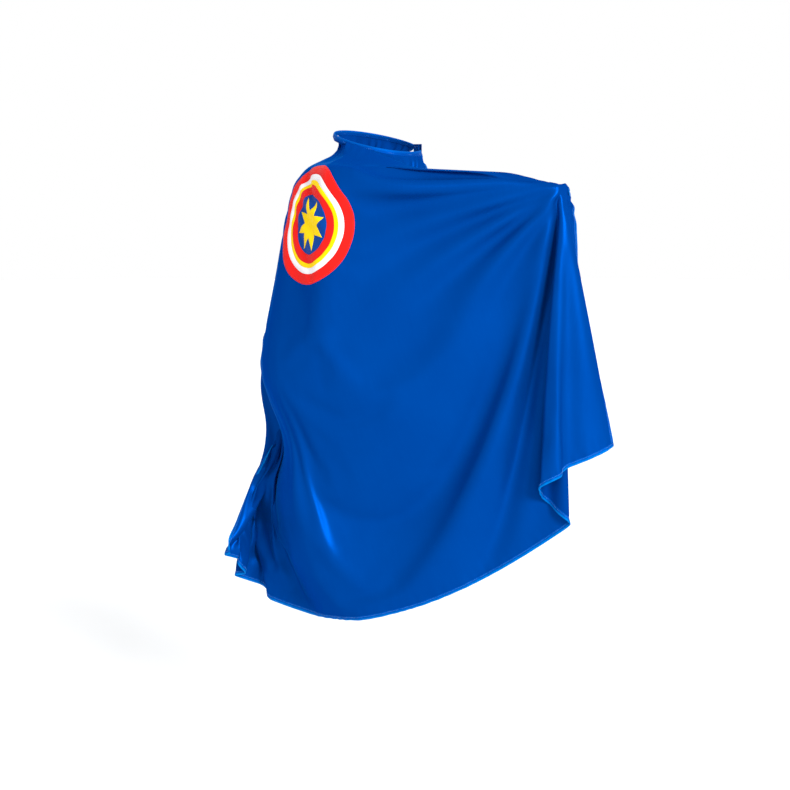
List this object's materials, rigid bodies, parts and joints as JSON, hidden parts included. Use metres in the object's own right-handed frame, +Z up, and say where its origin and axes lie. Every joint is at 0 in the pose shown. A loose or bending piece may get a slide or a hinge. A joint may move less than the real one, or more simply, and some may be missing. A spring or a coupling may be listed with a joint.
{
  "type": "superhero cape",
  "caption": "Child's satin costume cape, worn and held out to one side, with hemmed edges, a bound neckline, a hook-and-loop neck closure and a round star applique on the back.",
  "frame": {"origin": "centre of the neck opening, level with the base of the wearer's neck", "axes": "+Z up through the neck opening, +X towards the held-out right front edge, -Y towards the side the cloth is drawn across"},
  "size_m": [0.6457, 0.3307, 0.8538],
  "materials": {
    "satin": "smooth shiny blue polyester satin with a fine twill weave",
    "edging": "the same satin folded and pressed, a little lighter along the fold",
    "thread": "light blue polyester sewing thread",
    "applique_red": "smooth red applique film with a faint satin weave",
    "applique_white": "smooth white applique film with a faint satin weave",
    "applique_yellow": "smooth yellow applique film with a faint satin weave",
    "applique_blue": "smooth blue applique film with a faint satin weave",
    "hook_and_loop": "matt dark blue hook-and-loop tape",
    "label": "blank white woven label ribbon"
  },
  "bodies": {
    "cape": {"cape_panel": "satin", "neck_binding": "edging", "neck_thread": "thread", "bottom_hem": "edging", "bottom_hem_thread": "thread", "left_front_hem": "edging", "left_hem_thread": "thread", "right_front_hem": "edging", "right_hem_thread": "thread", "emblem_outer_ring": "applique_red", "emblem_white_ring": "applique_white", "emblem_yellow_ring": "applique_yellow", "emblem_inner_ring": "applique_red", "emblem_disc": "applique_blue", "emblem_star": "applique_yellow", "left_tab": "satin", "loop_patch": "hook_and_loop", "loop_patch_thread": "thread", "care_label": "label"},
    "hook_tab": {"right_tab": "satin", "hook_patch": "hook_and_loop", "hook_patch_thread": "thread"}
  },
  "joints": [
    {"name": "tab_peel", "type": "hinge", "parent": "cape", "child": "hook_tab", "pos_m": [0.0727, -0.0056, -0.0027], "axis": [0, 0, -1], "range_deg": [0, 110]}
  ]
}
